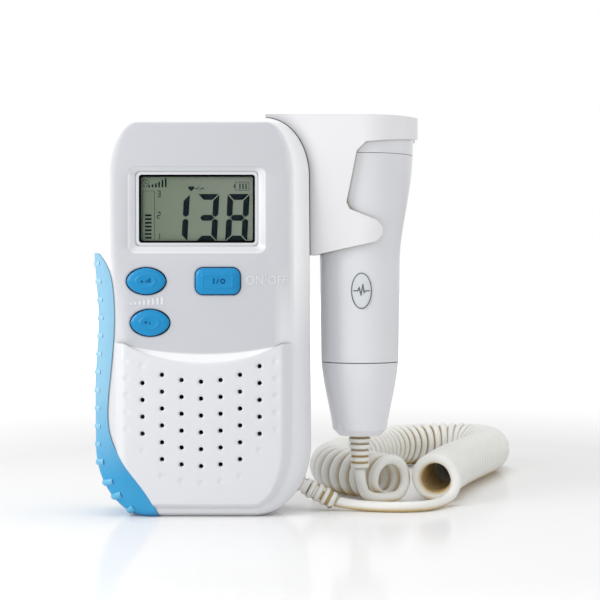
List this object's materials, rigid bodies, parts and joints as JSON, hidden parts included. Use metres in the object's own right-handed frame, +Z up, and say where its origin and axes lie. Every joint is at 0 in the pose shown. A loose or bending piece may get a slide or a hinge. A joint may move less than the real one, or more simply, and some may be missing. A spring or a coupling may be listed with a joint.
{
  "type": "fetal doppler monitor",
  "caption": "Hand-held monitor with display, keys and speaker, a round-headed ultrasound probe in a side sleeve and a curly cord between them.",
  "frame": {"origin": "middle of the main unit's flat base, on the surface it stands on", "axes": "+X to the viewer's right (towards the probe), -Y towards the viewer, +Z up"},
  "size_m": [0.1764, 0.1767, 0.1515],
  "materials": {
    "case_plastic": "white satin-gloss moulded plastic",
    "grip_rubber": "soft light blue rubber",
    "key_plastic": "blue moulded plastic",
    "window_plastic": "clear hard plastic",
    "black_gasket": "black",
    "display": "grey-green display glass",
    "white_plastic": "white",
    "conductive_rubber": "dark grey",
    "board": "green board",
    "component": "black",
    "membrane": "translucent grey",
    "steel": "plain steel",
    "cell": "dark wrapped cell",
    "socket": "black",
    "probe_face": "smooth contact face",
    "transducer": "ceramic",
    "backing": "damping resin",
    "label": "white oval plate",
    "cord": "soft ivory cord skin"
  },
  "bodies": {
    "case": {"front_shell": "case_plastic", "rear_shell": "case_plastic", "side_grip": "grip_rubber", "lcd_window": "window_plastic", "lcd_gasket": "black_gasket", "lcd_glass": "display", "lcd_backlight": "white_plastic", "lcd_connectors": "conductive_rubber", "main_board": "board", "board_components": "component", "keypad_membrane": "membrane", "speaker_gasket": "black_gasket", "speaker_frame": "steel", "speaker_cone": "black_gasket", "speaker_magnet": "steel", "batteries": "cell", "battery_springs": "steel", "battery_contacts": "steel", "earphone_socket": "socket", "case_screws": "steel", "board_screws": "steel", "holder_screws": "steel", "probe_holder": "case_plastic", "case_strain_relief": "cord", "coiled_lead": "cord", "loose_turns": "cord", "unit_lead": "cord", "probe_lead": "cord"},
    "probe": {"probe_housing": "case_plastic", "probe_head_cap": "case_plastic", "probe_face": "probe_face", "transducer_discs": "transducer", "transducer_backing": "backing", "probe_board": "board", "probe_label": "label", "probe_tail_cap": "case_plastic", "probe_strain_relief": "cord", "cable_clamp": "cord"},
    "battery_door": {"battery_door": "case_plastic"},
    "volume_up": {"volume_up_button": "key_plastic"},
    "volume_down": {"volume_down_button": "key_plastic"},
    "power": {"power_button": "key_plastic"}
  },
  "joints": [
    {"name": "probe_lift", "type": "slide", "parent": "case", "child": "probe", "axis": [0, 0, 1], "range_m": [0, 0.126]},
    {"name": "battery_door_hinge", "type": "hinge", "parent": "case", "child": "battery_door", "pos_m": [0, 0.0168, 0.011], "axis": [-1, 0, 0], "range_deg": [0, 75]},
    {"name": "volume_up_press", "type": "slide", "parent": "case", "child": "volume_up", "axis": [0, 1, 0], "range_m": [0, 0.0006], "stiffness_N_per_m": 800, "springref_m": -0.0008},
    {"name": "volume_down_press", "type": "slide", "parent": "case", "child": "volume_down", "axis": [0, 1, 0], "range_m": [0, 0.0006], "stiffness_N_per_m": 800, "springref_m": -0.0008},
    {"name": "power_press", "type": "slide", "parent": "case", "child": "power", "axis": [0, 1, 0], "range_m": [0, 0.0006], "stiffness_N_per_m": 800, "springref_m": -0.0008}
  ]
}
